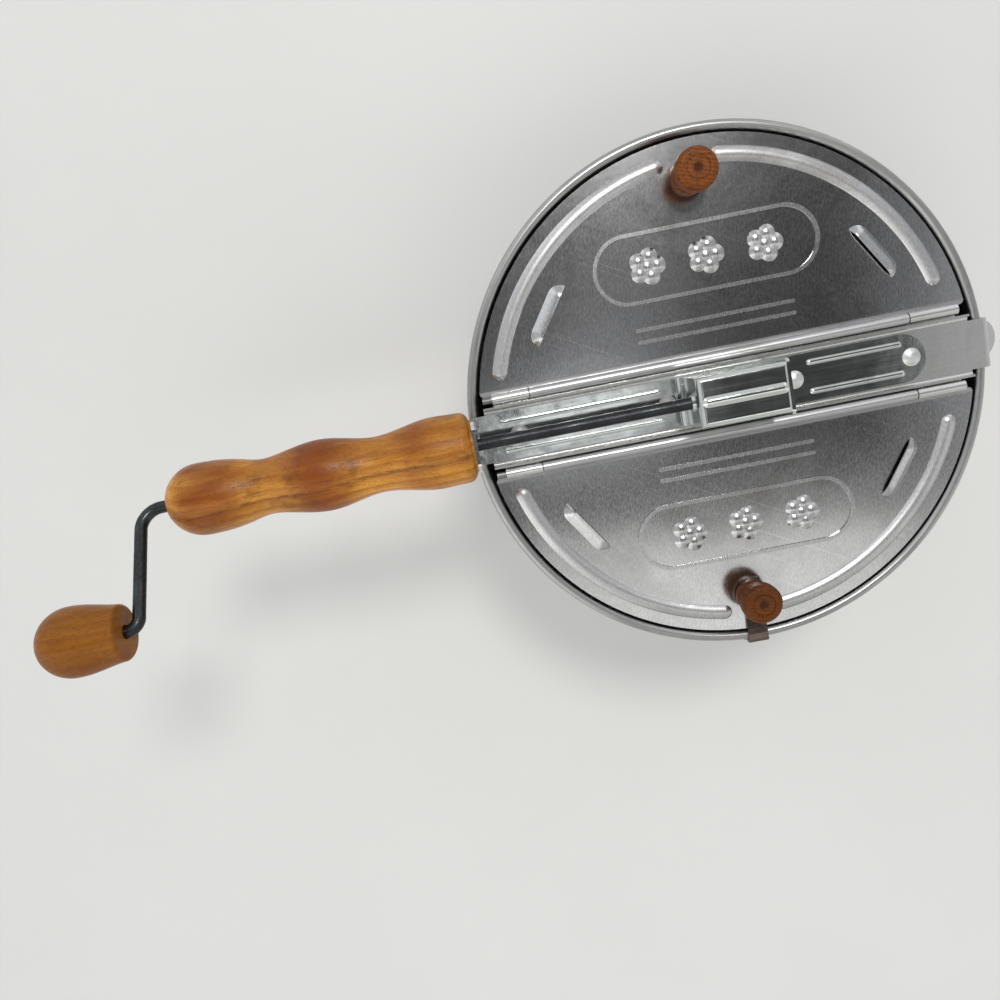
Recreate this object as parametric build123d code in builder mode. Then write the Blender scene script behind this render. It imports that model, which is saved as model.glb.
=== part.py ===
from build123d import *
from math import cos, pi, radians, sin, sqrt
import os

os.makedirs("parts", exist_ok=True)

# Stovetop corn popper, in millimetres. The origin is the centre of the pot's base, +Z is up, the bar
# over the rim lies along X, the handle points to -X, the plain lid is at +Y and the clipped one at -Y.

# ---- fits ----
curved_gap = 0.3          # between curved faces that pass each other
running_fit = 0.06        # radial play of a shaft or pin that turns in its hole
seat_fit = 0.02           # radial play of a pin, screw or wire driven home
screw_tip_gap = 1.0       # from a screw's end to the bottom of its pilot hole
lid_play = 1.2            # from the lid's round edge to the rim's bore
flare_play = 0.5          # from the rim's outside to what hooks over it
near = 0.01               # how close an edge lies to the place it is picked by
quarter_turn = 90         # degrees

# ---- pot ----
rim_radius = 120.65
rim_bead_radius = 2.3
pot_wall = 1.2
pot_height = 140.0
pot_corner_radius = 12.0

bore_radius = rim_radius - 2 * rim_bead_radius
wall_radius = bore_radius + pot_wall
bead_z = pot_height - rim_bead_radius

# ---- bar: hinge plate, channel and gear bracket, stacked over the rim ----
hinge_sheet = 0.9
channel_sheet = 1.0
channel_width = 28.6
channel_edge_height = 3.2
channel_bend = 1.9
bracket_sheet = 1.5
bracket_width = 22.3
neck_width = 22.4
channel_inset = 8.15      # from the rim's outside to where the side edges end
tab_reach = 9.0
tab_leg = 6.5
tab_drop = 3.5
tab_corner = 8.0
tab_width = 16.8
tab_shift = 1.6           # of the tab's round end, towards the plain lid
hook_leg = 10.0
hook_width = 16.0
leg_bend = 2.0

channel_right = rim_radius - channel_inset
channel_left = -channel_right
channel_z = pot_height + curved_gap
channel_top = channel_z + channel_sheet
strap_top = channel_top + bracket_sheet

# ---- hinges ----
hinge_y = 17.5
knuckle_radius = 2.6
hinge_pin_fit = 0.1
lid_knuckle_inset_left = 30.65
lid_knuckle_inset_right = 35.65
knuckle_slit = 0.6
fixed_knuckle_left = 17.0
fixed_knuckle_right = 22.0
pin_overhang = 4.5
fixed_curl_angle = 290.0
lid_curl_angle = 285.0

lid_knuckle_left = lid_knuckle_inset_left - rim_radius
lid_knuckle_right = rim_radius - lid_knuckle_inset_right
hinge_plate_z = channel_z - hinge_sheet
hinge_z = hinge_plate_z + knuckle_radius
knuckle_bore = knuckle_radius - hinge_sheet
hinge_pin_radius = knuckle_bore - hinge_pin_fit
plate_half_width = hinge_y - knuckle_radius - curved_gap
fixed_left_start = lid_knuckle_left - knuckle_slit - fixed_knuckle_left
fixed_right_end = lid_knuckle_right + knuckle_slit + fixed_knuckle_right

# ---- lids ----
lid_sheet = 0.9
lid_recess = 0.9
lid_corner_radius = 2.0
bead_inset = 9.05
bead_width = 7.0
bead_height = 1.4
bead_thinning = 0.1
bead_arcs = ((18.5, 83.5), (99.0, 164.0))
louvre_inset = 26.25
louvre_angle = 33.9
louvre_length = 30.0
louvre_depth = 5.8
louvre_rise = 2.7
louvre_heel_slope = 0.7   # of the hood where it meets the sheet, fall over run
ornament_y = 63.0
ornament_length = 104.0
ornament_height = 32.0
ornament_line = 1.8
ornament_rise = 0.6
kernel_ball = 6.0
kernel_rise = 1.5
kernel_ring_radius = 4.6
kernel_petals = 5
kernel_pitch = 27.0
bar_mark_length = 74.0
bar_mark_y = 30.0
bar_mark_pitch = 5.5

lid_radius = bore_radius - lid_play
lid_top = pot_height - lid_recess
lid_z = lid_top - lid_sheet
lid_edge_y = hinge_y + knuckle_bore
bead_arc_radius = lid_radius - bead_inset
louvre_radius = lid_radius - louvre_inset

# ---- lid knobs, their screws and the clip ----
knob_shift = 2.5          # towards the handle
knob_inset = 16.85
knob_height = 18.5
knob_base_radius = 8.0
knob_neck_radius = 6.9
knob_head_radius = 9.35
knob_foot_height = 3.2
knob_neck_z = 6.3
knob_head_z = 12.2
knob_top_round = 2.6
knob_ring_radius = 5.0
knob_ring_width = 0.9
knob_ring_depth = 0.4
knob_dimple_radius = 2.2
knob_dimple_depth = 0.8
knob_screw_radius = 1.9
knob_screw_depth = 12.0
screw_head_radius = 3.6
screw_head_height = 1.8
clip_sheet = 0.9
clip_width = 9.5
clip_foot = 8.0
clip_ramp_start = 11.15   # in from the rim's outside
clip_ramp_end = 3.15
clip_leg = 8.0
clip_flare = 2.0
clip_flare_drop = 3.0
clip_bend = 1.2

knob_x = -knob_shift
knob_y = lid_radius - knob_inset

# ---- gear bracket ----
rod_rise = 16.5
flange_rise = 13.0
flange_inset = 2.05
flange_corner_radius = 4.0
strap_inset = 29.35
flange_bend = 1.8
housing_shift = 20.8      # of its flange side, from the shaft's axis
housing_length = 40.4
housing_height = 29.0
housing_wall = 1.2
housing_round = 2.4
housing_foot_round = 2.6
housing_rib_width = 4.8
housing_rib_rise = 1.2
housing_rib_inset = 1.6
housing_end_width = 24.8
rod_lip_length = 0.8
rod_lip_wall = 1.0
strap_bead_y = 6.7
strap_bead_width = 2.8
strap_bead_rise = 0.8
strap_bead_flange_gap = 12.6
strap_bead_left_gap = 10.2
strap_bead_right_gap = 17.4
strap_bead_tip_gap = 10.3
rivet_flange_gap = 20.6
rivet_left_gap = 7.7
rivet_right_gap = 11.1
rivet_tip_gap = 6.5
rivet_head_radius = 4.2
rivet_head_height = 1.3
rivet_shank_radius = 2.0
rivet_tail_radius = 3.4
rivet_tail_height = 1.2

rod_z = strap_top + rod_rise
rod_axis = Axis((0, 0, rod_z), (1, 0, 0))
rod_plane = Plane(origin=(0, 0, rod_z), x_dir=(1, 0, 0), z_dir=(0, -1, 0))
bracket_left = flange_inset - rim_radius
bracket_right = rim_radius - strap_inset
housing_left = -housing_shift
housing_right = housing_left + housing_length
housing_top = strap_top + housing_height
inner_left = housing_left + bracket_sheet
strap_beads = (
    (bracket_left + strap_bead_flange_gap, housing_left - strap_bead_left_gap),
    (housing_right + strap_bead_right_gap, bracket_right - strap_bead_tip_gap),
)
rivet_xs = (
    bracket_left + rivet_flange_gap, housing_left - rivet_left_gap,
    housing_right + rivet_right_gap, bracket_right - rivet_tip_gap,
)

# ---- crank and handle ----
rod_radius = 2.75
rod_bend = 5.2            # where the arm turns into the knob
rod_butt_bend = 9.5       # where the rod leaves the handle and turns into the arm
arm_angle = 34.0          # of the crank arm above the -Y direction, as photographed
arm_length = 55.5
arm_handle_gap = 12.5     # from the handle's butt to the arm's middle
handle_length = 140.4
handle_end_radius = 15.7
handle_end_round = 4.2
handle_seat_radius = 11.8     # of the low seat on which the handle meets the flange
handle_seat_height = 1.2
handle_bulge_start = 18.6
handle_bulge_pitch = 24.9
handle_bulge_radius = 16.1
handle_waist_radius = 12.5
handle_butt_length = 16.5
handle_butt_radius = 16.3
handle_screw_y = 8.4
handle_screw_radius = 1.7
handle_screw_depth = 22.0
knob_arm_gap = 5.7        # from the arm's middle to the knob's flat end
crank_knob_length = 37.4
crank_knob_end_radius = 12.2
crank_knob_radius = 15.2
crank_knob_round = 1.6
crank_pin_length = 30.0
pin_tip_gap = 1.5

handle_left = bracket_left - handle_length
handle_butt_x = handle_left + handle_butt_length
arm_x = handle_left - arm_handle_gap
crank_knob_right = arm_x - knob_arm_gap
handle_stations = [
    (bracket_left - handle_bulge_start - step * handle_bulge_pitch, radius)
    for step, radius in enumerate((handle_bulge_radius, handle_waist_radius) * 2)
]

# ---- mitre gears, on cones whose common apex is where the rod's axis crosses the shaft's ----
gear_teeth = 10
gear_radius = 8.0
gear_face = 3.8
tooth_top = 1.2
tooth_depth = 1.5
tooth_share = 0.40        # of the pitch that a tooth fills at the pitch cone
tooth_slope = 0.36        # of each flank, run over rise
tooth_root_sink = 0.3
gear_back = 1.6
hub_radius = 5.6
gear_pin_radius = 1.0
hub_flange_gap = 0.4

# ---- agitator ----
shaft_radius = 3.175
shaft_rod_gap = 1.1
shaft_floor_gap = 0.7
bush_radius = 5.0
bush_flange_radius = 7.2
bush_flange = 1.0
bush_tail = 0.8
washer_radius = 6.6
washer_sheet = 0.8
collar_radius = 7.0
collar_length = 6.0
collar_gap = 0.3
wire_radius = 1.6
lower_wire_z = 4.8
lower_wire_wall_gap = 29.05
lower_wire_lift = 14.0
upper_wire_z = 38.0
upper_wire_wall_gap = 56.05
upper_wire_drop = 16.0
wire_bend = 6.0

lower_wire_reach = bore_radius - lower_wire_wall_gap
upper_wire_reach = bore_radius - upper_wire_wall_gap
shaft_top = rod_z - rod_radius - shaft_rod_gap
shaft_bottom = pot_wall + shaft_floor_gap
bush_top = channel_top + bush_flange
washer_top = bush_top + washer_sheet

arm_reach = (-arm_length * cos(radians(arm_angle)), arm_length * sin(radians(arm_angle)))
crank_knob_origin = (0, arm_reach[0], rod_z + arm_reach[1])
crank_plane = Plane(
    origin=(0, 0, rod_z), x_dir=(1, 0, 0),
    z_dir=(0, -sin(radians(arm_angle)), -cos(radians(arm_angle))),
)


def drilled(x, y, low, high, radius):
    """An upright round bar, for drilling or for a shank."""
    with BuildPart() as bar:
        with BuildSketch(Plane.XY.offset(low)):
            with Locations((x, y)):
                Circle(radius)
        extrude(amount=high - low)
    return bar.part


def along_x(y, z, left, right, radius):
    """A round bar along X."""
    with BuildPart() as bar:
        with BuildSketch(Plane.YZ.offset(left)):
            with Locations((y, z)):
                Circle(radius)
        extrude(amount=right - left)
    return bar.part


def folded_strip(side, points, sheet, width, bend, centre=0.0):
    """A strip of sheet whose middle line runs through points of the plane side, with round bends."""
    with BuildPart() as strip:
        with BuildSketch(side.offset(centre)):
            with BuildLine():
                FilletPolyline(*points, radius=bend)
            trace(line_width=sheet)
        extrude(amount=width / 2, both=True)
    return strip.part


def rolled_edge(y, left, right, start, sweep):
    """The rolled part of a hinge knuckle, seen from +X, between two places along X."""
    with BuildPart() as roll:
        with BuildSketch(Plane.YZ.offset(left)):
            with BuildLine():
                outer = CenterArc((y, hinge_z), knuckle_radius, start, sweep)
                inner = CenterArc((y, hinge_z), knuckle_bore, start, sweep)
                Line(outer @ 0, inner @ 0)
                Line(outer @ 1, inner @ 1)
            make_face()
        extrude(amount=right - left)
    return roll.part


def raised_bead(y, left, right, width, rise, floor):
    """A pressed bead's round ridge along X above floor, with round ends."""
    radius = (width**2 / 4 + rise**2) / (2 * rise)
    ends = (left + width / 2, right - width / 2)
    with BuildPart() as ridge:
        add(along_x(y, floor + rise - radius, *ends, radius))
        with Locations([(x, y, floor + rise - radius) for x in ends]):
            Sphere(radius)
        split(bisect_by=Plane(origin=(0, 0, floor - rise / 2), z_dir=(0, 0, 1)), keep=Keep.TOP)
    return ridge.part


def around_pot(angle):
    """The upright plane through the pot's axis at an angle from +X."""
    turn = radians(angle)
    return Plane(origin=(0, 0, 0), x_dir=(cos(turn), sin(turn), 0), z_dir=(sin(turn), -cos(turn), 0))


def crown_section(angle, width, height, floor, half=False):
    """A pressed bead's section on the upright plane at an angle, or its outer half."""
    reach = width / 2
    with BuildSketch(around_pot(angle)) as section:
        with BuildLine():
            crown = ThreePointArc(
                (bead_arc_radius - reach, floor), (bead_arc_radius, floor + height),
                (bead_arc_radius + reach, floor),
            )
            Line(crown @ 0, crown @ 1)
        make_face()
        if half:
            with Locations((bead_arc_radius, floor)):
                Rectangle(width, 2 * height, mode=Mode.SUBTRACT, align=(Align.MAX, Align.CENTER))
    return section.sketch


def arc_bead(width, height, floor, start, finish):
    """A pressed bead's form along an arc around the pot's axis, with round ends."""
    with BuildPart() as bead:
        revolve(crown_section(start, width, height, floor), axis=Axis.Z, revolution_arc=finish - start)
        for angle in (start, finish):
            turn = radians(angle)
            middle = (bead_arc_radius * cos(turn), bead_arc_radius * sin(turn), 0)
            revolve(crown_section(angle, width, height, floor, half=True), axis=Axis(middle, (0, 0, 1)))
    return bead.part


def louvre_form(shrink, floor):
    """A louvre's form above floor, its straight slit along X through the origin and its heel to +Y."""
    half = louvre_length / 2 - louvre_depth
    with BuildSketch(Plane.YZ) as section:
        with BuildLine():
            roof = Spline(
                (0, lid_top + louvre_rise - shrink), (louvre_depth - shrink, lid_top),
                tangents=((1, 0), (1, -louvre_heel_slope)),
            )
            Polyline(roof @ 1, (louvre_depth - shrink, floor), (0, floor), roof @ 0)
        make_face()
    with BuildPart() as form:
        extrude(section.sketch, amount=half, both=True)
        for side in (1, -1):
            end = section.sketch.moved(Location((side * half, 0, 0)))
            revolve(end, axis=Axis((side * half, 0, 0), (0, 0, -side)), revolution_arc=quarter_turn)
    return form.part


def kernel_form():
    """A popped kernel pressed into the sheet: low round swellings around a middle one."""
    with BuildPart() as kernel:
        with Locations((0, 0, lid_top + kernel_rise - kernel_ball)):
            Sphere(kernel_ball)
            with PolarLocations(kernel_ring_radius, kernel_petals):
                Sphere(kernel_ball)
        split(bisect_by=Plane(origin=(0, 0, lid_top - lid_sheet / 2), z_dir=(0, 0, 1)), keep=Keep.TOP)
    return kernel.part


def gear_form(phase, hub_end):
    """A straight mitre gear, its cones' apex at the origin and its hub down to hub_end, before boring."""
    slant = sqrt(2)
    small = 1 - gear_face / (gear_radius * slant)
    root = gear_radius - tooth_depth / slant
    root_z = -gear_radius - tooth_depth / slant
    with BuildPart() as tooth:
        for share in (1, small):
            cone_point = (gear_radius * share, 0, -gear_radius * share)
            half = tooth_share * pi * gear_radius / gear_teeth * share
            top, low = tooth_top * share, -(tooth_depth + tooth_root_sink) * share
            with BuildSketch(Plane(origin=cone_point, x_dir=(0, 1, 0), z_dir=(-1, 0, 1))):
                Polygon(
                    (half - tooth_slope * top, -top), (half - tooth_slope * low, -low),
                    (-half + tooth_slope * low, -low), (-half + tooth_slope * top, -top), align=None,
                )
        loft(ruled=True)
    with BuildPart() as gear:
        with BuildSketch(Plane.XZ):
            Polygon(
                (0, root_z * small), (root * small, root_z * small), (root, root_z),
                (root - gear_back, root_z - gear_back), (hub_radius, root_z - gear_back),
                (hub_radius, hub_end), (0, hub_end), align=None,
            )
        revolve(axis=Axis.Z)
        for index in range(gear_teeth):
            add(tooth.part, rotation=(0, 0, phase + index * 360 / gear_teeth))
    return gear.part


# ---- pot ----
with BuildPart() as pot:
    with BuildSketch(Plane.XZ):
        with BuildLine():
            foot = Line((0, 0), (wall_radius - pot_corner_radius, 0))
            heel = TangentArc(foot @ 1, (wall_radius, pot_corner_radius), tangent=(1, 0))
            neck_z = bead_z - sqrt(rim_bead_radius**2 - (rim_bead_radius - pot_wall) ** 2)
            side = Line(heel @ 1, (wall_radius, neck_z))
            curl = ThreePointArc(side @ 1, (rim_radius, bead_z), (bore_radius, bead_z))
            bore = Line(curl @ 1, (bore_radius, pot_corner_radius))
            cove = TangentArc(
                (wall_radius - pot_corner_radius, pot_wall), (bore_radius, pot_corner_radius), tangent=(1, 0)
            )
            Polyline(cove @ 0, (0, pot_wall), (0, 0))
        make_face()
    revolve(axis=Axis.Z)

# ---- hinge plate: lies under the channel and carries the four fixed knuckles ----
fixed_spans = (
    (fixed_left_start, lid_knuckle_left - knuckle_slit),
    (lid_knuckle_right + knuckle_slit, fixed_right_end),
)
with BuildPart() as hinge_plate:
    with BuildSketch(Plane.XY.offset(hinge_plate_z)):
        with Locations(((fixed_left_start + fixed_right_end) / 2, 0)):
            Rectangle(fixed_right_end - fixed_left_start, 2 * plate_half_width)
        for left, right in fixed_spans:
            with Locations(((left + right) / 2, 0)):
                Rectangle(right - left, 2 * hinge_y)
    extrude(amount=hinge_sheet)
    for left, right in fixed_spans:
        add(rolled_edge(hinge_y, left, right, -quarter_turn, fixed_curl_angle))
        add(rolled_edge(-hinge_y, left, right, -quarter_turn, -fixed_curl_angle))
    add(drilled(0, 0, hinge_plate_z, channel_z, bush_radius + seat_fit), mode=Mode.SUBTRACT)
    for x in rivet_xs:
        add(drilled(x, 0, hinge_plate_z, channel_z, rivet_shank_radius + seat_fit), mode=Mode.SUBTRACT)

# ---- hinge pins ----
with BuildPart() as rear_hinge_pin:
    add(along_x(hinge_y, hinge_z, fixed_left_start - pin_overhang, fixed_right_end, hinge_pin_radius))

with BuildPart() as front_hinge_pin:
    add(along_x(-hinge_y, hinge_z, fixed_left_start - pin_overhang, fixed_right_end, hinge_pin_radius))

# ---- channel over the rim, with a thumb tab at one end and a hook under the handle ----
sheet_mid = channel_z + channel_sheet / 2
edge_mid = (channel_width - channel_sheet) / 2
leg_x = rim_radius + flare_play + channel_sheet / 2
tab_low = pot_height - tab_leg
with BuildPart() as bridge_channel:
    with BuildSketch(Plane.YZ.offset(channel_left)):
        with BuildLine():
            FilletPolyline(
                (-edge_mid, channel_z + channel_edge_height), (-edge_mid, sheet_mid),
                (edge_mid, sheet_mid), (edge_mid, channel_z + channel_edge_height), radius=channel_bend,
            )
        trace(line_width=channel_sheet)
    extrude(amount=channel_right - channel_left)
    add(
        folded_strip(
            Plane.XZ,
            (
                (channel_right, sheet_mid), (leg_x, sheet_mid), (leg_x, tab_low),
                (leg_x + tab_reach, tab_low - tab_drop),
            ),
            channel_sheet, neck_width, leg_bend,
        )
    )
    add(
        folded_strip(
            Plane.XZ, ((channel_left, sheet_mid), (-leg_x, sheet_mid), (-leg_x, pot_height - hook_leg)),
            channel_sheet, hook_width, leg_bend,
        )
    )
    with BuildSketch(Plane.XY.offset(tab_low - 2 * tab_drop)):
        with Locations((leg_x + tab_reach + channel_sheet, 0)):
            Rectangle(tab_corner + channel_sheet, 2 * neck_width, align=(Align.MAX, Align.CENTER))
        with Locations((leg_x + tab_reach - tab_corner, tab_shift)):
            Ellipse(tab_corner, tab_width / 2, mode=Mode.SUBTRACT)
    extrude(amount=2 * tab_drop + tab_leg / 2, mode=Mode.SUBTRACT)
    add(drilled(0, 0, channel_z, channel_top, bush_radius + seat_fit), mode=Mode.SUBTRACT)
    for x in rivet_xs:
        add(drilled(x, 0, channel_z, channel_top, rivet_shank_radius + seat_fit), mode=Mode.SUBTRACT)

# ---- gear bracket: strap, end flange and the raised housing around the gears ----
flange_mid = bracket_left + bracket_sheet / 2
strap_mid = channel_top + bracket_sheet / 2
housing_middle = (housing_left + housing_right) / 2
with BuildPart() as gear_bracket:
    add(
        folded_strip(
            Plane.XZ,
            (
                (flange_mid, rod_z + flange_rise), (flange_mid, strap_mid),
                (bracket_right - bracket_width / 2, strap_mid),
            ),
            bracket_sheet, bracket_width, flange_bend,
        )
    )
    flange_corners = gear_bracket.edges().filter_by(Axis.X).group_by(Axis.Z)[-1]
    fillet(flange_corners, flange_corner_radius)
    with BuildSketch(Plane.XY.offset(channel_top)):
        with Locations((bracket_right - bracket_width / 2, 0)):
            Circle(bracket_width / 2)
    extrude(amount=bracket_sheet)
    with BuildSketch(Plane.XY.offset(channel_top)):
        with Locations((housing_middle, 0)):
            Rectangle(housing_length, bracket_width)
    extrude(amount=housing_top - channel_top)
    feet = gear_bracket.edges().filter_by(Axis.Y)
    feet = feet.filter_by_position(Axis.Z, strap_top - near, strap_top + near)
    feet = feet.filter_by_position(Axis.X, housing_left - near, housing_right + near)
    fillet(feet, housing_foot_round)
    crown = gear_bracket.edges().filter_by_position(Axis.Z, housing_top - near, housing_top + near)
    fillet(crown, housing_round)
    with BuildSketch(Plane.XY.offset(channel_top)):
        with Locations((housing_middle, 0)):
            Rectangle(housing_length - 2 * bracket_sheet, bracket_width - 2 * housing_wall)
    extrude(amount=housing_height, mode=Mode.SUBTRACT)
    with BuildSketch(Plane.YZ.offset(housing_right - bracket_sheet)) as end_wall:
        with Locations((0, strap_top)):
            Rectangle(housing_end_width, housing_height, align=(Align.CENTER, Align.MIN))
        fillet(end_wall.vertices().group_by(Axis.Z)[-1], housing_round)
    extrude(amount=bracket_sheet)
    rib_ends = (housing_left + housing_rib_inset, housing_right - housing_rib_inset)
    add(raised_bead(0, *rib_ends, housing_rib_width, housing_rib_rise, housing_top))
    for left, right in strap_beads:
        for y in (strap_bead_y, -strap_bead_y):
            add(raised_bead(y, left, right, strap_bead_width, strap_bead_rise, strap_top))
    add(along_x(0, rod_z, housing_left - rod_lip_length, housing_left, rod_radius + rod_lip_wall))
    add(along_x(0, rod_z, bracket_left, housing_right, rod_radius + running_fit), mode=Mode.SUBTRACT)
    for x in rivet_xs:
        add(drilled(x, 0, channel_top, strap_top, rivet_shank_radius + seat_fit), mode=Mode.SUBTRACT)
    for y in (handle_screw_y, -handle_screw_y):
        flange_right = bracket_left + bracket_sheet
        hole = along_x(y, rod_z, bracket_left, flange_right, handle_screw_radius + seat_fit)
        add(hole, mode=Mode.SUBTRACT)

# ---- rivets through the three sheets ----
with BuildPart() as bracket_rivets:
    for x in rivet_xs:
        with BuildSketch(Plane(origin=(x, 0, 0), x_dir=(1, 0, 0), z_dir=(0, -1, 0))):
            with BuildLine():
                dome = ThreePointArc(
                    (-rivet_head_radius, strap_top), (0, strap_top + rivet_head_height),
                    (rivet_head_radius, strap_top),
                )
                Line(dome @ 0, dome @ 1)
            make_face()
            with Locations((0, strap_top)):
                Rectangle(
                    rivet_head_radius, rivet_head_height, mode=Mode.SUBTRACT,
                    align=(Align.MAX, Align.MIN),
                )
            with Locations((0, hinge_plate_z)):
                Rectangle(rivet_shank_radius, strap_top - hinge_plate_z, align=(Align.MIN, Align.MIN))
                Rectangle(rivet_tail_radius, rivet_tail_height, align=(Align.MIN, Align.MAX))
        revolve(axis=Axis((x, 0, 0), (0, 0, 1)))

# ---- handle and its screws ----
with BuildPart() as handle_grip:
    with BuildSketch(rod_plane):
        with BuildLine():
            bore_side = rod_radius + curved_gap
            handle_right = bracket_left - handle_seat_height
            seat = Polyline(
                (bracket_left, bore_side), (bracket_left, handle_seat_radius),
                (handle_right, handle_seat_radius), (handle_right, handle_end_radius - handle_end_round),
            )
            lip = TangentArc(
                seat @ 1, (handle_right - handle_end_round, handle_end_radius), tangent=(0, 1)
            )
            waves = Spline(
                lip @ 1, *handle_stations, (handle_butt_x, handle_butt_radius),
                tangents=((-1, 0), (-1, 0)),
            )
            butt = EllipticalCenterArc(
                (handle_butt_x, 0), handle_butt_x - handle_left, handle_butt_radius,
                start_angle=quarter_turn, arc_size=quarter_turn,
            )
            Polyline(butt @ 1, (bracket_left, 0), seat @ 0)
        make_face()
    revolve(axis=rod_axis)
    add(along_x(0, rod_z, handle_left, bracket_left, bore_side), mode=Mode.SUBTRACT)
    for y in (handle_screw_y, -handle_screw_y):
        pilot_end = bracket_left - handle_screw_depth
        pilot = along_x(y, rod_z, pilot_end, bracket_left, handle_screw_radius + seat_fit)
        add(pilot, mode=Mode.SUBTRACT)

with BuildPart() as handle_screws:
    for y in (handle_screw_y, -handle_screw_y):
        with BuildSketch(Plane(origin=(bracket_left, y, rod_z), x_dir=(1, 0, 0), z_dir=(0, -1, 0))):
            with BuildLine():
                dome = TangentArc(
                    (bracket_sheet + screw_head_height, 0), (bracket_sheet, screw_head_radius),
                    tangent=(0, 1),
                )
                tip = screw_tip_gap - handle_screw_depth
                Polyline(
                    dome @ 1, (bracket_sheet, handle_screw_radius), (tip, handle_screw_radius),
                    (tip, 0), dome @ 0,
                )
            make_face()
        revolve(axis=Axis((bracket_left, y, rod_z), (1, 0, 0)))

# ---- crank rod, pinion and knob ----
pinion_back = inner_left + hub_flange_gap
pinion_pin_x = pinion_back + 2 * gear_pin_radius
rod_end = housing_right - curved_gap
with BuildPart() as crank_rod:
    with BuildLine(crank_plane) as rod_path:
        FilletPolyline(
            (rod_end, 0), (arm_x, 0), (arm_x, arm_length),
            (crank_knob_right - crank_pin_length, arm_length), radius=(rod_butt_bend, rod_bend),
        )
    with BuildSketch(Plane(origin=rod_path.line @ 0, z_dir=rod_path.line % 0)):
        Circle(rod_radius)
    sweep()
    add(
        drilled(pinion_pin_x, 0, rod_z - hub_radius, rod_z + hub_radius, gear_pin_radius + seat_fit),
        mode=Mode.SUBTRACT,
    )

with BuildPart() as pinion_gear:
    add(gear_form(0, pinion_back).moved(Location((0, 0, rod_z), (0, quarter_turn, 0))))
    add(along_x(0, rod_z, pinion_back, 0, rod_radius + seat_fit), mode=Mode.SUBTRACT)
    add(
        drilled(pinion_pin_x, 0, rod_z - hub_radius, rod_z + hub_radius, gear_pin_radius + seat_fit),
        mode=Mode.SUBTRACT,
    )

with BuildPart() as pinion_pin:
    pin_half = sqrt(hub_radius**2 - gear_pin_radius**2)
    add(drilled(pinion_pin_x, 0, rod_z - pin_half, rod_z + pin_half, gear_pin_radius))

with BuildPart() as crank_knob:
    with BuildSketch(Plane(origin=crank_knob_origin, x_dir=(1, 0, 0), z_dir=(0, -1, 0))):
        with BuildLine():
            knob_bore = rod_radius + curved_gap
            round_start = crank_knob_right - crank_knob_length + crank_knob_radius
            bore_end = crank_knob_right - crank_pin_length - pin_tip_gap
            face_top = crank_knob_end_radius - crank_knob_round
            face = Line((crank_knob_right, knob_bore), (crank_knob_right, face_top))
            lip = TangentArc(
                face @ 1, (crank_knob_right - crank_knob_round, crank_knob_end_radius), tangent=(0, 1)
            )
            flank = Spline(lip @ 1, (round_start, crank_knob_radius), tangents=((-1, 0.1), (-1, 0)))
            butt = CenterArc((round_start, 0), crank_knob_radius, quarter_turn, quarter_turn)
            Polyline(butt @ 1, (bore_end, 0), (bore_end, knob_bore), face @ 0)
        make_face()
    revolve(axis=Axis(crank_knob_origin, (1, 0, 0)))

# ---- bush, agitator shaft, driven gear and what holds them ----
with BuildPart() as shaft_bush:
    add(drilled(0, 0, channel_top, bush_top, bush_flange_radius))
    add(drilled(0, 0, hinge_plate_z - bush_tail, channel_top, bush_radius))
    add(drilled(0, 0, hinge_plate_z - bush_tail, bush_top, shaft_radius + running_fit), mode=Mode.SUBTRACT)

collar_top = hinge_plate_z - bush_tail - collar_gap
driven_pin_z = washer_top + 2 * gear_pin_radius
with BuildPart() as agitator_shaft:
    add(drilled(0, 0, shaft_bottom, shaft_top, shaft_radius))
    add(along_x(0, lower_wire_z, -shaft_radius, shaft_radius, wire_radius + seat_fit), mode=Mode.SUBTRACT)
    with BuildSketch(Plane.XZ):
        with Locations((0, upper_wire_z)):
            Circle(wire_radius + seat_fit)
    extrude(amount=shaft_radius, both=True, mode=Mode.SUBTRACT)
    add(along_x(0, driven_pin_z, -hub_radius, hub_radius, gear_pin_radius + seat_fit), mode=Mode.SUBTRACT)

with BuildPart() as driven_gear:
    add(gear_form(180 / gear_teeth, washer_top - rod_z).moved(Location((0, 0, rod_z))))
    add(drilled(0, 0, washer_top, rod_z, shaft_radius + seat_fit), mode=Mode.SUBTRACT)
    add(along_x(0, driven_pin_z, -hub_radius, hub_radius, gear_pin_radius + seat_fit), mode=Mode.SUBTRACT)

with BuildPart() as driven_gear_pin:
    add(along_x(0, driven_pin_z, -pin_half, pin_half, gear_pin_radius))

with BuildPart() as thrust_washer:
    add(drilled(0, 0, bush_top, washer_top, washer_radius))
    add(drilled(0, 0, bush_top, washer_top, shaft_radius + running_fit), mode=Mode.SUBTRACT)

with BuildPart() as shaft_collar:
    add(drilled(0, 0, collar_top - collar_length, collar_top, collar_radius))
    add(drilled(0, 0, collar_top - collar_length, collar_top, shaft_radius + seat_fit), mode=Mode.SUBTRACT)

with BuildPart() as lower_stirrer:
    with BuildLine(Plane.XZ) as lower_path:
        FilletPolyline(
            (-lower_wire_reach, lower_wire_z + lower_wire_lift), (-lower_wire_reach, lower_wire_z),
            (lower_wire_reach, lower_wire_z), (lower_wire_reach, lower_wire_z + lower_wire_lift),
            radius=wire_bend,
        )
    with BuildSketch(Plane(origin=lower_path.line @ 0, z_dir=lower_path.line % 0)):
        Circle(wire_radius)
    sweep()

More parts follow.
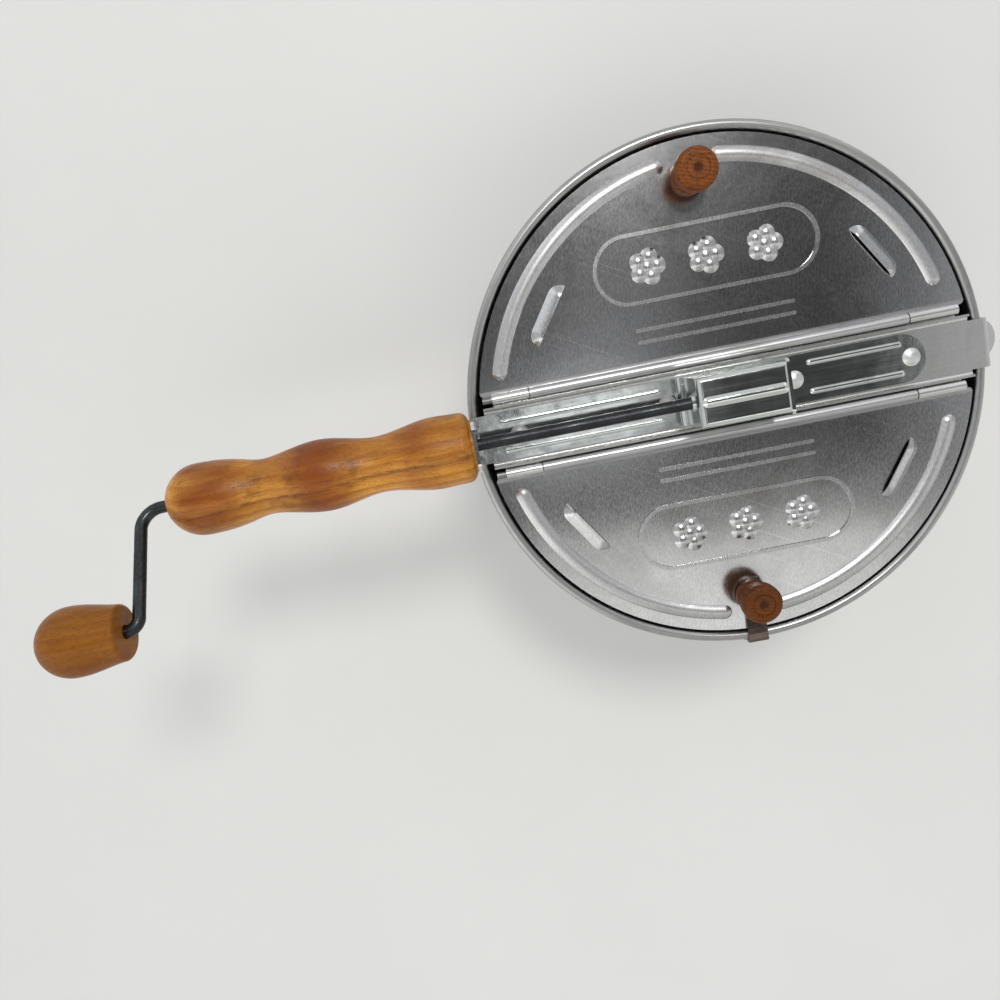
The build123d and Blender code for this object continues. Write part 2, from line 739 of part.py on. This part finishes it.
with BuildPart() as upper_stirrer:
    with BuildLine(Plane.YZ) as upper_path:
        FilletPolyline(
            (-upper_wire_reach, upper_wire_z - upper_wire_drop), (-upper_wire_reach, upper_wire_z),
            (upper_wire_reach, upper_wire_z), (upper_wire_reach, upper_wire_z - upper_wire_drop),
            radius=wire_bend,
        )
    with BuildSketch(Plane(origin=upper_path.line @ 0, z_dir=upper_path.line % 0)):
        Circle(wire_radius)
    sweep()

# ---- lids: the rear one is built, the front one is its mirror image ----
with BuildPart() as rear_lid_panel:
    with BuildSketch(Plane.XY.offset(lid_z)) as rear_lid_outline:
        Circle(lid_radius)
        with Locations((0, lid_edge_y)):
            Rectangle(
                2 * lid_radius, 2 * lid_radius, mode=Mode.INTERSECT, align=(Align.CENTER, Align.MIN)
            )
        fillet(rear_lid_outline.vertices(), lid_corner_radius)
    extrude(amount=lid_sheet)
    with BuildSketch(Plane.YZ.offset(lid_knuckle_left)):
        with Locations((lid_edge_y, lid_z)):
            Rectangle(hinge_sheet, hinge_z - lid_z, align=(Align.MIN, Align.MIN))
    extrude(amount=lid_knuckle_right - lid_knuckle_left)
    add(rolled_edge(hinge_y, lid_knuckle_left, lid_knuckle_right, 0, lid_curl_angle))
    for start, finish in bead_arcs:
        add(arc_bead(bead_width, bead_height, lid_top, start, finish))
        groove = arc_bead(
            bead_width - 2 * lid_sheet, bead_height - bead_thinning, lid_z, start, finish
        )
        add(groove, mode=Mode.SUBTRACT)
    for angle in (louvre_angle, 2 * quarter_turn - louvre_angle):
        turn = radians(angle)
        spot = (louvre_radius * cos(turn), louvre_radius * sin(turn), 0)
        place = Location(spot, (0, 0, angle - quarter_turn))
        add(louvre_form(0, lid_z).moved(place))
        add(louvre_form(lid_sheet, lid_z - lid_sheet).moved(place), mode=Mode.SUBTRACT)
    with BuildSketch(Plane.XY.offset(lid_top)):
        with Locations((0, ornament_y)):
            SlotOverall(ornament_length, ornament_height)
            SlotOverall(
                ornament_length - 2 * ornament_line, ornament_height - 2 * ornament_line, mode=Mode.SUBTRACT
            )
        for y in (bar_mark_y, bar_mark_y + bar_mark_pitch):
            with Locations((0, y)):
                SlotOverall(bar_mark_length, ornament_line)
    extrude(amount=ornament_rise)
    for step in (-1, 0, 1):
        add(kernel_form().moved(Location((step * kernel_pitch, ornament_y, 0))))
    add(drilled(knob_x, knob_y, lid_z, lid_top, knob_screw_radius + seat_fit), mode=Mode.SUBTRACT)

with BuildPart() as front_lid_panel:
    mirror(rear_lid_panel.part, about=Plane.XZ)

# ---- clip under the front knob, hooked over the rim ----
clip_low = lid_top + clip_sheet / 2
clip_over = pot_height + curved_gap + clip_sheet / 2
clip_leg_y = rim_radius + flare_play + clip_sheet / 2
with BuildPart() as front_lid_clip:
    add(
        folded_strip(
            Plane.YZ,
            (
                (-knob_y + clip_foot, clip_low), (clip_ramp_start - rim_radius, clip_low),
                (clip_ramp_end - rim_radius, clip_over),
                (-clip_leg_y, clip_over), (-clip_leg_y, clip_over - clip_leg),
                (-clip_leg_y - clip_flare, clip_over - clip_leg - clip_flare_drop),
            ),
            clip_sheet, clip_width, clip_bend, centre=knob_x,
        )
    )
    add(
        drilled(knob_x, -knob_y, lid_top, lid_top + clip_sheet, knob_screw_radius + seat_fit),
        mode=Mode.SUBTRACT,
    )


def turned_knob(y, seat):
    """A turned lid knob on its seat, with a ring and a dimple on top and a blind pilot hole below."""
    with BuildPart() as knob:
        with BuildSketch(Plane(origin=(knob_x, y, seat), x_dir=(1, 0, 0), z_dir=(0, -1, 0))):
            with BuildLine():
                side = Line((knob_base_radius, 0), (knob_base_radius, knob_foot_height))
                waist = Spline(
                    side @ 1, (knob_neck_radius, knob_neck_z), (knob_head_radius, knob_head_z),
                    tangents=((-0.6, 1), (0, 1)),
                )
                head = Line(waist @ 1, (knob_head_radius, knob_height - knob_top_round))
                crown = TangentArc(
                    head @ 1, (knob_head_radius - knob_top_round, knob_height), tangent=(0, 1)
                )
                Polyline(
                    crown @ 1, (knob_dimple_radius, knob_height), (0, knob_height - knob_dimple_depth),
                    (0, 0), side @ 0,
                )
            make_face()
            with Locations((knob_ring_radius, knob_height)):
                Rectangle(knob_ring_width, 2 * knob_ring_depth, mode=Mode.SUBTRACT)
        revolve(axis=Axis((knob_x, y, 0), (0, 0, 1)))
        pilot = drilled(knob_x, y, seat, seat + knob_screw_depth, knob_screw_radius + seat_fit)
        add(pilot, mode=Mode.SUBTRACT)
    return knob.part


def knob_screw(y, seat):
    """The screw from under the lid into a knob, with a domed head."""
    with BuildPart() as screw:
        with BuildSketch(Plane(origin=(knob_x, y, lid_z), x_dir=(1, 0, 0), z_dir=(0, -1, 0))):
            with BuildLine():
                dome = TangentArc((0, -screw_head_height), (screw_head_radius, 0), tangent=(1, 0))
                tip = seat - lid_z + knob_screw_depth - screw_tip_gap
                Polyline(dome @ 1, (knob_screw_radius, 0), (knob_screw_radius, tip), (0, tip), dome @ 0)
            make_face()
        revolve(axis=Axis((knob_x, y, 0), (0, 0, 1)))
    return screw.part


with BuildPart() as rear_lid_knob:
    add(turned_knob(knob_y, lid_top))

with BuildPart() as front_lid_knob:
    add(turned_knob(-knob_y, lid_top + clip_sheet))

with BuildPart() as rear_knob_screw:
    add(knob_screw(knob_y, lid_top))

with BuildPart() as front_knob_screw:
    add(knob_screw(-knob_y, lid_top + clip_sheet))

nodes = {
    "pot": pot, "hinge_plate": hinge_plate, "rear_hinge_pin": rear_hinge_pin,
    "front_hinge_pin": front_hinge_pin, "bridge_channel": bridge_channel, "gear_bracket": gear_bracket,
    "bracket_rivets": bracket_rivets, "handle_grip": handle_grip, "handle_screws": handle_screws,
    "shaft_bush": shaft_bush, "crank_rod": crank_rod, "pinion_gear": pinion_gear,
    "pinion_pin": pinion_pin, "crank_knob": crank_knob, "agitator_shaft": agitator_shaft,
    "driven_gear": driven_gear, "driven_gear_pin": driven_gear_pin, "thrust_washer": thrust_washer,
    "shaft_collar": shaft_collar, "lower_stirrer": lower_stirrer, "upper_stirrer": upper_stirrer,
    "rear_lid_panel": rear_lid_panel, "front_lid_panel": front_lid_panel,
    "rear_lid_knob": rear_lid_knob, "front_lid_knob": front_lid_knob,
    "rear_knob_screw": rear_knob_screw, "front_knob_screw": front_knob_screw,
    "front_lid_clip": front_lid_clip,
}
for name, node in nodes.items():
    node.part.label = name
    export_step(node.part, f"parts/{name}.step")
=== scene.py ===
import math

import bpy
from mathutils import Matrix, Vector

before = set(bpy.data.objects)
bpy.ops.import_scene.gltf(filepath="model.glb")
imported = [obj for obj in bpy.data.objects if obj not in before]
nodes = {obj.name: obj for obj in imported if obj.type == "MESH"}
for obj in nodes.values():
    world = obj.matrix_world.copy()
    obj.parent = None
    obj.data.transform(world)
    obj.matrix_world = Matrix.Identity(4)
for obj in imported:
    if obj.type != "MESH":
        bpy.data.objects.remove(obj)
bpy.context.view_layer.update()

MM = 0.001
WHITE = (1.0, 1.0, 1.0)
ALONG_X, ALONG_Y, ALONG_Z = (1.0, 0.0, 0.0), (0.0, 1.0, 0.0), (0.0, 0.0, 1.0)


# ---- places on the part that the materials follow, in metres ----
def lowest(name):
    """The lowest corner of a node's box, in the part's own frame."""
    return Vector(map(min, zip(*nodes[name].bound_box)))


def highest(name):
    """The highest corner of a node's box."""
    return Vector(map(max, zip(*nodes[name].bound_box)))


def middle(name):
    """The middle of a node's box."""
    return (lowest(name) + highest(name)) / 2


ROD_HEIGHT = middle("handle_grip").z
HANDLE_RADIUS = highest("handle_grip").y
HANDLE_END = highest("handle_grip").x
LID_TOP = lowest("rear_lid_knob").z
LID_RADIUS = highest("rear_lid_panel").y
HINGE_EDGE = highest("hinge_plate").y
KNOB_X, KNOB_Y = middle("rear_knob_screw").xy


# ---- node trees ----
class Tree:
    """A material, or the world, with its node tree and short calls for the nodes that feed it.

    Noise scales are in waves per metre.
    """

    def __init__(self, owner):
        owner.use_nodes = True
        self.owner = owner
        self.tree = owner.node_tree
        self.shader = self.tree.nodes.get("Principled BSDF")
        self.place = self.add("ShaderNodeTexCoord").outputs["Object" if self.shader else "Generated"]

    def feed(self, target, value):
        """Links a node's output to a socket, or sets a plain value on it."""
        if hasattr(value, "is_output"):
            self.tree.links.new(value, target)
        elif isinstance(value, tuple) and target.type == "RGBA":
            target.default_value = (*value, 1)
        else:
            target.default_value = value

    def add(self, kind, links=(), **settings):
        made = self.tree.nodes.new(kind)
        for key, value in settings.items():
            setattr(made, key, value)
        for name, value in links:
            self.feed(made.inputs[name], value)
        return made

    def mapped(self, scale=(1, 1, 1), turn=(0, 0, 0), shift=(0, 0, 0)):
        """The object's coordinates in metres, shifted, then turned, then stretched."""
        made = self.add("ShaderNodeMapping", [("Vector", self.place), ("Location", shift)])
        turned = self.add("ShaderNodeMapping", [("Vector", made.outputs["Vector"]), ("Rotation", turn)])
        last = self.add("ShaderNodeMapping", [("Vector", turned.outputs["Vector"]), ("Scale", scale)])
        return last.outputs["Vector"]

    def noise(self, vector, scale=1.0, detail=3.0, rough=0.5, distortion=0.0):
        made = self.add(
            "ShaderNodeTexNoise",
            [("Vector", vector), ("Scale", scale), ("Detail", detail), ("Roughness", rough),
             ("Distortion", distortion)],
        )
        return made.outputs["Fac"]

    def grains(self, scale):
        """Small cells, each rising from 0 at its middle."""
        made = self.add("ShaderNodeTexVoronoi", [("Vector", self.place), ("Scale", scale)])
        return made.outputs["Distance"]

    def maths(self, operation, *values):
        made = self.add("ShaderNodeMath", operation=operation)
        for slot, value in zip(made.inputs, values):
            self.feed(slot, value)
        return made.outputs["Value"]

    def plus(self, first, second):
        return self.maths("ADD", first, second)

    def minus(self, first, second):
        return self.maths("SUBTRACT", first, second)

    def times(self, first, *others):
        for other in others:
            first = self.maths("MULTIPLY", first, other)
        return first

    def length(self, first, second):
        """The long side of a right-angled triangle."""
        return self.maths("SQRT", self.plus(self.times(first, first), self.times(second, second)))

    def repeated(self, source, gap):
        """Goes from 0 to 1 over each gap of the source."""
        return self.maths("FRACT", self.maths("DIVIDE", source, gap))

    def dot(self, vector, direction):
        made = self.add("ShaderNodeVectorMath", [(0, vector), (1, direction)], operation="DOT_PRODUCT")
        return made.outputs["Value"]

    def step(self, source, low, high, start=0.0, end=1.0):
        """Goes smoothly from start to end as the source goes from low to high, which may be the smaller."""
        made = self.add(
            "ShaderNodeMapRange",
            [("Value", source), ("From Min", low), ("From Max", high), ("To Min", start), ("To Max", end)],
            interpolation_type="SMOOTHSTEP",
        )
        return made.outputs["Result"]

    def band(self, source, rise, fall, height=1.0):
        """Goes up from 0 to the height over the first span of the source, and down again over the second."""
        return self.times(self.step(source, *rise), self.step(source, *fall, start=height, end=0.0))

    def mix(self, factor, low, high):
        made = self.add("ShaderNodeMix", data_type="RGBA")
        for key, value in (("Factor_Float", factor), ("A_Color", low), ("B_Color", high)):
            self.feed(next(s for s in made.inputs if s.identifier == key), value)
        return next(s for s in made.outputs if s.identifier == "Result_Color")

    def bump(self, height, depth, under=None):
        """Raises the surface by height times depth in metres, over another bump."""
        made = self.add("ShaderNodeBump", [("Height", height), ("Distance", depth), ("Strength", 1.0)])
        if under:
            self.feed(made.inputs["Normal"], under)
        return made.outputs["Normal"]

    def from_axis(self, x=0.0, y=0.0, mirrored=False):
        """New coordinates: X is the distance from an upright axis, and Y the height.

        If mirrored, the axis stands on both sides of the bar.
        """
        parts = self.add("ShaderNodeSeparateXYZ", [("Vector", self.place)]).outputs
        across = self.maths("ABSOLUTE", parts["Y"]) if mirrored else parts["Y"]
        away = self.length(self.minus(parts["X"], x), self.minus(across, y))
        return self.add("ShaderNodeCombineXYZ", [("X", away), ("Y", parts["Z"])]).outputs["Vector"]

    def finish(self, colour, rough, normal, **constants):
        for name, value in (("Base Color", colour), ("Roughness", rough), ("Normal", normal)):
            self.feed(self.shader.inputs[name], value)
        for name, value in constants.items():
            self.shader.inputs[name.replace("_", " ")].default_value = value
        return self.owner


def material(name):
    return Tree(bpy.data.materials.new(name))


def grey(value, tint=WHITE):
    return tuple(min(value * c, 1.0) for c in tint)


# ---- metals ----
def rolled_sheet(name, tone, rough, tint):
    """Mill-finish sheet: short grain strokes, cloudy handling marks, thin scratches, a wavy surface.

    The rolled hinge edges beside the bar and all that is pressed up out of the sheet are satin, the long
    beads along the rim the most.
    """
    stains, grain_turn, scratch_turn = 0.5, math.radians(-76), 0.5
    bead_ring = LID_RADIUS - 16.3 * MM
    t = material(name)
    across = t.maths("ABSOLUTE", t.dot(t.place, ALONG_Y))
    flat = t.step(across, HINGE_EDGE + 0.4 * MM, HINGE_EDGE + 2.4 * MM)
    raised = t.times(t.step(t.dot(t.place, ALONG_Z), LID_TOP + 0.1 * MM, LID_TOP + 0.5 * MM), flat)
    away = t.dot(t.from_axis(), ALONG_X)
    strokes = t.noise(t.mapped((560, 2500, 2500), turn=(0, 0, grain_turn)), detail=4.0, rough=0.62)
    strokes = t.plus(0.5, t.times(t.minus(strokes, 0.5), t.step(flat, 0.0, 1.0, start=0.2)))
    clouds = t.noise(t.place, 24.0, detail=5.0, rough=0.62, distortion=0.5)
    patches = t.noise(t.mapped(shift=(0.3, 0.2, 0.0)), 11.0, detail=6.0, rough=0.68, distortion=0.8)
    patches = t.step(patches, 0.52, 0.68)
    scratch = t.noise(t.mapped((9, 1900, 1900), turn=(0, 0, scratch_turn)), detail=1.0, rough=0.4)
    scratch = t.times(t.step(scratch, 0.71, 0.76), flat)

    colour = t.mix(t.step(strokes, 0.28, 0.72), grey(tone * 0.79, tint), grey(tone * 1.18, tint))
    colour = t.mix(t.step(clouds, 0.35, 0.75, end=stains), colour, grey(tone * 0.66, tint))
    colour = t.mix(t.times(patches, stains), colour, grey(tone * 0.5, (1.0, 0.95, 0.9)))
    colour = t.mix(t.times(scratch, 0.5), colour, grey(tone * 1.5, tint))
    roughness = t.step(t.mix(0.5, strokes, clouds), 0.25, 0.75, rough * 0.8, rough * 1.25)
    roughness = t.plus(roughness, t.step(flat, 0.0, 1.0, start=0.17, end=0.0))
    satin = t.step(away, bead_ring - 1.5 * MM, bead_ring + 1.5 * MM, start=0.09, end=0.20)
    roughness = t.plus(roughness, t.times(raised, satin))
    normal = t.bump(t.noise(t.place, 16.0, detail=2.0, rough=0.4), 0.35 * MM)
    normal = t.bump(strokes, 0.006 * MM, normal)
    return t.finish(colour, roughness, normal, Metallic=1.0)


def spun_sheet(name, tone, rough):
    """Spun aluminium: tool rings around the pot, dull clouds and small marks."""
    t = material(name)
    away = t.from_axis()
    rings = t.noise(away, 1500.0, rough=0.6)
    broad = t.noise(away, 160.0, detail=2.0)
    clouds = t.noise(t.place, 30.0, detail=5.0, rough=0.65, distortion=0.5)
    marks = t.step(t.noise(t.place, 260.0, detail=4.0, rough=0.7), 0.58, 0.7)

    colour = t.mix(t.step(rings, 0.3, 0.7), grey(tone * 0.85), grey(tone * 1.1))
    colour = t.mix(t.step(clouds, 0.4, 0.8, end=0.6), colour, grey(tone * 0.55))
    colour = t.mix(t.times(marks, 0.3), colour, grey(tone * 0.5))
    roughness = t.step(t.mix(0.5, rings, clouds), 0.25, 0.75, rough * 0.7, rough * 1.35)
    normal = t.bump(rings, 0.014 * MM, t.bump(broad, 0.06 * MM))
    return t.finish(colour, roughness, normal, Metallic=1.0)


def plated_sheet(name, tint, rough, waves, speckle, drawn=1.0, painted_shade_and_dull=None):
    """Zinc-plated pressed sheet: bright, faintly green, with draw marks, dents and coarse grains.

    waves is the depth of the dents in metres. painted_shade_and_dull is a direction, and where along it the
    painted shade
    starts and is full: there the colour darkens towards near black and the sheet also turns rougher.
    """
    t = material(name)
    draw = t.noise(t.mapped((24, 900, 900)), rough=0.6)
    clouds = t.noise(t.place, 70.0, detail=5.0, rough=0.65, distortion=0.8)
    grime = t.step(t.noise(t.mapped(shift=(0.1, 0.0, 0.0)), 55.0, detail=4.0, rough=0.6), 0.5, 0.72)
    grime = t.times(grime, t.grains(1900.0))

    colour = t.mix(t.step(clouds, 0.42, 0.76, end=0.22), tint, grey(0.6, tint))
    colour = t.mix(t.times(grime, speckle), colour, grey(0.12))
    roughness = t.step(t.mix(0.5, draw, clouds), 0.25, 0.75, rough / (1 + drawn), rough * (1 + drawn))
    if painted_shade_and_dull:
        direction, start, end = painted_shade_and_dull
        painted_shade_fade = t.step(t.dot(t.place, direction), start, end)
        # painted shade: along the direction the colour darkens towards near black, and the sheet also turns
        # rougher
        colour = t.mix(t.times(painted_shade_fade, 0.65), colour, grey(0.05))
        roughness = t.plus(roughness, t.times(painted_shade_fade, 0.2))
    normal = t.bump(t.noise(t.place, 42.0), waves)
    normal = t.bump(grime, 0.035 * speckle * MM, normal)
    normal = t.bump(draw, 0.003 * drawn * MM, normal)
    return t.finish(colour, roughness, normal, Metallic=1.0)


def bar_steel(name, tone, rough, tint=WHITE):
    """Drawn bar or wire: rubbed patches, a fine skin and small pits."""
    t = material(name)
    rubbed = t.step(t.noise(t.place, 90.0, detail=5.0, rough=0.6), 0.42, 0.7)
    pits = t.noise(t.place, 1100.0, rough=0.6)

    colour = t.mix(t.step(pits, 0.3, 0.7), grey(tone * 0.7, tint), grey(tone * 1.3, tint))
    colour = t.mix(t.times(rubbed, 0.45), colour, grey(tone * 2.0, tint))
    roughness = t.step(t.mix(0.5, pits, rubbed), 0.2, 0.8, rough * 1.3, rough * 0.75)
    return t.finish(colour, roughness, t.bump(pits, 0.03 * MM), Metallic=1.0)


# ---- woods ----
def turned_wood(name, colours, layers, ring_gap, streak=None, wear=0.5, bulges=0.0, gloss=0.15):
    """Oiled turned wood with its grain along X: growth layers, long pores, silky flecks, a dark streak.

    layers is the direction across the growth layers, streak the place of the dark one along it, and
    bulges how much darker the thick places are, though less so beside the pot.
    """
    pale, middling, dark = colours
    t = material(name)
    parts = t.add("ShaderNodeSeparateXYZ", [("Vector", t.place)]).outputs
    thick = t.length(parts["Y"], t.minus(parts["Z"], ROD_HEIGHT))
    wander = t.noise(t.mapped((9, 45, 45)))
    depth = t.plus(t.dot(t.place, layers), t.times(wander, 6 * MM))
    rings = t.repeated(depth, ring_gap)
    pores = t.noise(t.mapped((90, 2600, 2600)), rough=0.62)
    fibres = t.noise(t.mapped((28, 750, 750)), detail=4.0, rough=0.62)
    flecks = t.noise(t.mapped((520, 1500, 1500)), detail=2.0)
    broad = t.noise(t.mapped((16, 60, 60), shift=(0.7, 0.1, 0.3)), rough=0.55)
    swollen = t.times(
        t.step(thick, 0.77 * HANDLE_RADIUS, HANDLE_RADIUS),
        t.step(parts["X"], HANDLE_END - 31.4 * MM, HANDLE_END - 13.4 * MM, bulges, 0.2 * bulges),
        t.step(broad, 0.30, 0.62, 0.55, 1.25),
    )
    worn = t.step(t.noise(t.place, 60.0, detail=5.0, rough=0.65), 0.50, 0.72, end=wear)

    colour = t.mix(t.step(rings, 0.15, 1.0, end=0.35), pale, middling)
    colour = t.mix(t.step(broad, 0.36, 0.70, end=0.6), colour, middling)
    colour = t.mix(t.step(fibres, 0.44, 0.72, end=0.45), colour, middling)
    colour = t.mix(swollen, colour, middling)
    colour = t.mix(t.step(flecks, 0.50, 0.72, end=0.30), colour, dark)
    colour = t.mix(t.step(pores, 0.54, 0.74, end=0.6), colour, dark)
    if streak is not None:
        line = t.step(t.maths("ABSOLUTE", t.minus(depth, streak)), 0.0, 1.6 * MM, start=1.0, end=0.0)
        colour = t.mix(t.times(line, t.step(fibres, 0.30, 0.55), 0.65), colour, dark)
    colour = t.mix(worn, colour, dark)
    roughness = t.step(t.mix(0.5, flecks, broad), 0.3, 0.7, 0.24, 0.46)
    normal = t.bump(t.noise(t.place, 130.0, detail=2.0), 0.14 * MM)
    normal = t.bump(flecks, 0.09 * MM, normal)
    normal = t.bump(pores, 0.02 * MM, normal)
    return t.finish(colour, roughness, normal, Specular_IOR_Level=gloss)


def turned_knob_wood(name, colours):
    """A small knob turned with its end grain up: rings of tool marks, thin parallel layers, dark pores."""
    pale, middling, dark = colours
    t = material(name)
    away = t.from_axis(KNOB_X, KNOB_Y, mirrored=True)
    marks = t.noise(away, 1300.0, detail=2.0)
    wander = t.noise(t.place, 120.0, rough=0.6)
    layers = t.plus(t.dot(t.place, (0.35, 1.0, 0.25)), t.times(wander, 3.5 * MM))
    rings = t.repeated(layers, 1.7 * MM)
    pores = t.noise(t.mapped((900, 900, 120)), rough=0.62)
    broad = t.noise(t.place, 130.0, rough=0.6)
    pith = t.step(t.dot(away, ALONG_X), 1.2 * MM, 3.0 * MM, start=0.8, end=0.0)

    colour = t.mix(t.step(rings, 0.1, 1.0, end=0.8), pale, middling)
    colour = t.mix(t.step(broad, 0.36, 0.68, end=0.7), colour, middling)
    colour = t.mix(t.step(pores, 0.50, 0.72, end=0.85), colour, dark)
    colour = t.mix(pith, colour, dark)
    roughness = t.step(marks, 0.25, 0.75, 0.34, 0.52)
    normal = t.bump(pores, 0.06 * MM, t.bump(marks, 0.07 * MM))
    return t.finish(colour, roughness, normal, Specular_IOR_Level=0.15)


# ---- which piece wears what ----
def dress(finish, *names):
    """Puts a material on every slot of the named nodes."""
    for name in names:
        for slot in nodes[name].material_slots:
            slot.material = finish


# a pale, a middling and a dark colour of each wood
HANDLE_WOOD = ((0.69, 0.320, 0.050), (0.22, 0.052, 0.004), (0.085, 0.022, 0.003))
CRANK_WOOD = ((0.29, 0.106, 0.014), (0.18, 0.055, 0.006), (0.07, 0.018, 0.002))
FRONT_KNOB_WOOD = ((0.14, 0.042, 0.006), (0.08, 0.022, 0.004), (0.03, 0.008, 0.002))
REAR_KNOB_WOOD = ((0.23, 0.065, 0.010), (0.11, 0.032, 0.005), (0.04, 0.010, 0.002))

# where two of the plated pieces get painted shade and turn rougher: the clip's foot under the front knob and
# the rivets on the left of the strap
CLIP_FOOT_PAINTED_SHADE = (ALONG_Y, -KNOB_Y - 1 * MM, -KNOB_Y + 2 * MM)
LEFT_RIVETS_PAINTED_SHADE = (ALONG_X, -10 * MM, -30 * MM)

dress(rolled_sheet("lid_sheet", 0.60, 0.165, (0.985, 0.985, 1.0)), "rear_lid_panel", "front_lid_panel")
dress(spun_sheet("pot_spun", 0.42, 0.33), "pot")
dress(
    plated_sheet("bracket_zinc", (0.77, 0.805, 0.785), 0.125, waves=0.20 * MM, speckle=0.8, drawn=0.4),
    "gear_bracket",
)
dress(
    plated_sheet("channel_plate", (0.72, 0.72, 0.71), 0.27, waves=0.12 * MM, speckle=0.12, drawn=0.05),
    "bridge_channel", "hinge_plate",
)
# the clip's foot gets painted shade where it pokes out from under the front knob
dress(
    plated_sheet("clip_plate", (0.17, 0.13, 0.11), 0.24, waves=0.10 * MM, speckle=0.3, painted_shade_and_dull=CLIP_FOOT_PAINTED_SHADE),
    "front_lid_clip",
)
# the rivets on the left of the strap get painted shade
dress(
    plated_sheet("rivet_zinc", (0.72, 0.73, 0.72), 0.34, waves=0.25 * MM, speckle=0.8, painted_shade_and_dull=LEFT_RIVETS_PAINTED_SHADE),
    "bracket_rivets",
)
dress(bar_steel("rod_gunmetal", 0.044, 0.36, (0.92, 1.0, 1.04)), "crank_rod")
dress(
    bar_steel("pin_steel", 0.26, 0.34),
    "rear_hinge_pin", "front_hinge_pin", "pinion_pin", "driven_gear_pin",
)
dress(bar_steel("screw_steel", 0.42, 0.26), "handle_screws", "rear_knob_screw", "front_knob_screw")
dress(bar_steel("gear_steel", 0.22, 0.36), "pinion_gear", "driven_gear", "shaft_collar")
dress(bar_steel("stirrer_wire", 0.46, 0.26), "agitator_shaft", "lower_stirrer", "upper_stirrer")
dress(bar_steel("bush_brass", 0.44, 0.30, (1.0, 0.76, 0.40)), "shaft_bush", "thrust_washer")
dress(
    turned_wood(
        "handle_wood", HANDLE_WOOD, (-0.03, 1.0, 0.35), 4.6 * MM, streak=65 * MM, bulges=0.84, gloss=0.26
    ),
    "handle_grip",
)
dress(turned_wood("crank_wood", CRANK_WOOD, (0.02, 1.0, -0.2), 4.0 * MM, wear=0.35), "crank_knob")
dress(turned_knob_wood("rear_knob_wood", REAR_KNOB_WOOD), "rear_lid_knob")
dress(turned_knob_wood("front_knob_wood", FRONT_KNOB_WOOD), "front_lid_knob")


# ---- floor ----
def make_floor():
    """A wide pale sheet under the pot."""
    reach = 40.0
    mesh = bpy.data.meshes.new("floor")
    corners = [(-reach, -reach, 0), (reach, -reach, 0), (reach, reach, 0), (-reach, reach, 0)]
    mesh.from_pydata(corners, [], [(0, 1, 2, 3)])
    floor = bpy.data.objects.new("floor", mesh)
    bpy.context.scene.collection.objects.link(floor)

    t = material("floor_paper")
    mottle = t.noise(t.place, 6.0, detail=5.0, rough=0.6)
    colour = t.mix(mottle, (0.68, 0.68, 0.67), (0.73, 0.73, 0.72))
    normal = t.bump(t.noise(t.place, 300.0), 0.05 * MM)
    floor.data.materials.append(t.finish(colour, t.step(mottle, 0.2, 0.8, 0.5, 0.65), normal))


# ---- light ----
def make_room():
    """A dim room with a bright sheet to the front, windows to the rear and pale walls at the sides.

    The coordinates are a ray's direction, so each step goes along its share to the right or to the rear,
    or along a slanted line between the two. The camera itself sees an even pale room.
    """
    darkest, seen_by_camera = 0.035, 0.82
    world = bpy.data.worlds.new("studio")
    bpy.context.scene.world = world
    w = Tree(world)
    right, rear = w.dot(w.place, ALONG_X), w.dot(w.place, ALONG_Y)
    slanted = w.dot(w.place, (1.0, -0.6, 0.0))

    front_sheet = w.times(
        w.step(rear, -0.210, -0.250, end=1.08),
        w.step(right, 0.30, 0.50, start=1.0, end=0.4),
        w.step(rear, -0.36, -0.60, start=1.0, end=0.5),
    )
    slanted_window = w.times(
        w.band(slanted, (-0.02, 0.10), (0.15, 0.27), 0.18), w.band(rear, (-0.135, -0.07), (0.10, 0.40), 0.95)
    )
    small_window = w.times(
        w.band(right, (-0.03, 0.02), (0.15, 0.22)), w.band(rear, (-0.135, -0.10), (-0.07, -0.02), 0.95)
    )
    rear_wall = w.step(rear, 0.42, 0.66, end=0.62)
    left_wall = w.step(right, -0.17, -0.40, end=0.60)
    right_wall = w.step(right, 0.42, 0.50, end=0.50)
    total = darkest
    for part in (front_sheet, slanted_window, small_window, rear_wall, left_wall, right_wall):
        total = w.plus(total, part)

    seen = w.add("ShaderNodeLightPath").outputs["Is Camera Ray"]
    total = w.plus(w.times(total, w.minus(1.0, seen)), w.times(seen, seen_by_camera))
    colour = w.mix(w.step(rear, -0.16, -0.25), (0.97, 0.985, 1.0), (1.0, 0.995, 0.965))
    background = w.tree.nodes["Background"]
    w.feed(background.inputs["Strength"], total)
    w.feed(background.inputs["Color"], colour)


def area_light(name, place, aim, size, power, colour=WHITE, glossy=True):
    light = bpy.data.lights.new(name, "AREA")
    light.size = size
    light.energy = power
    light.color = colour
    lamp = bpy.data.objects.new(name, light)
    lamp.location = place
    lamp.rotation_euler = (Vector(aim) - Vector(place)).to_track_quat("-Z", "Y").to_euler()
    lamp.visible_camera = False
    lamp.visible_glossy = glossy
    bpy.context.scene.collection.objects.link(lamp)


# ---- camera, solved from the rim, the knobs and the bar in the photograph ----
def make_camera():
    focal_pixels, photo_pixels, sensor = 831.0, 1000.0, 36.0
    turns = (-9.176, -0.401, -11.061)
    camera = bpy.data.cameras.new("photo_camera")
    camera.sensor_width = sensor
    camera.lens = sensor * focal_pixels / photo_pixels
    camera.clip_start = 0.01
    viewer = bpy.data.objects.new("photo_camera", camera)
    viewer.location = (-0.1037, 0.0328, 0.5279)
    viewer.rotation_euler = [math.radians(turn) for turn in turns]
    bpy.context.scene.collection.objects.link(viewer)
    bpy.context.scene.camera = viewer


make_floor()
make_room()
area_light("fill_front", (-0.1, -0.75, 1.2), (-0.1, -0.35, 0), 0.9, 3.0, glossy=False)
area_light("key_rear", (0.22, 0.98, 2.1), (0, 0, 0.1), 0.5, 18, (1.0, 0.985, 0.96))
make_camera()
bpy.context.scene.view_settings.view_transform = "Standard"
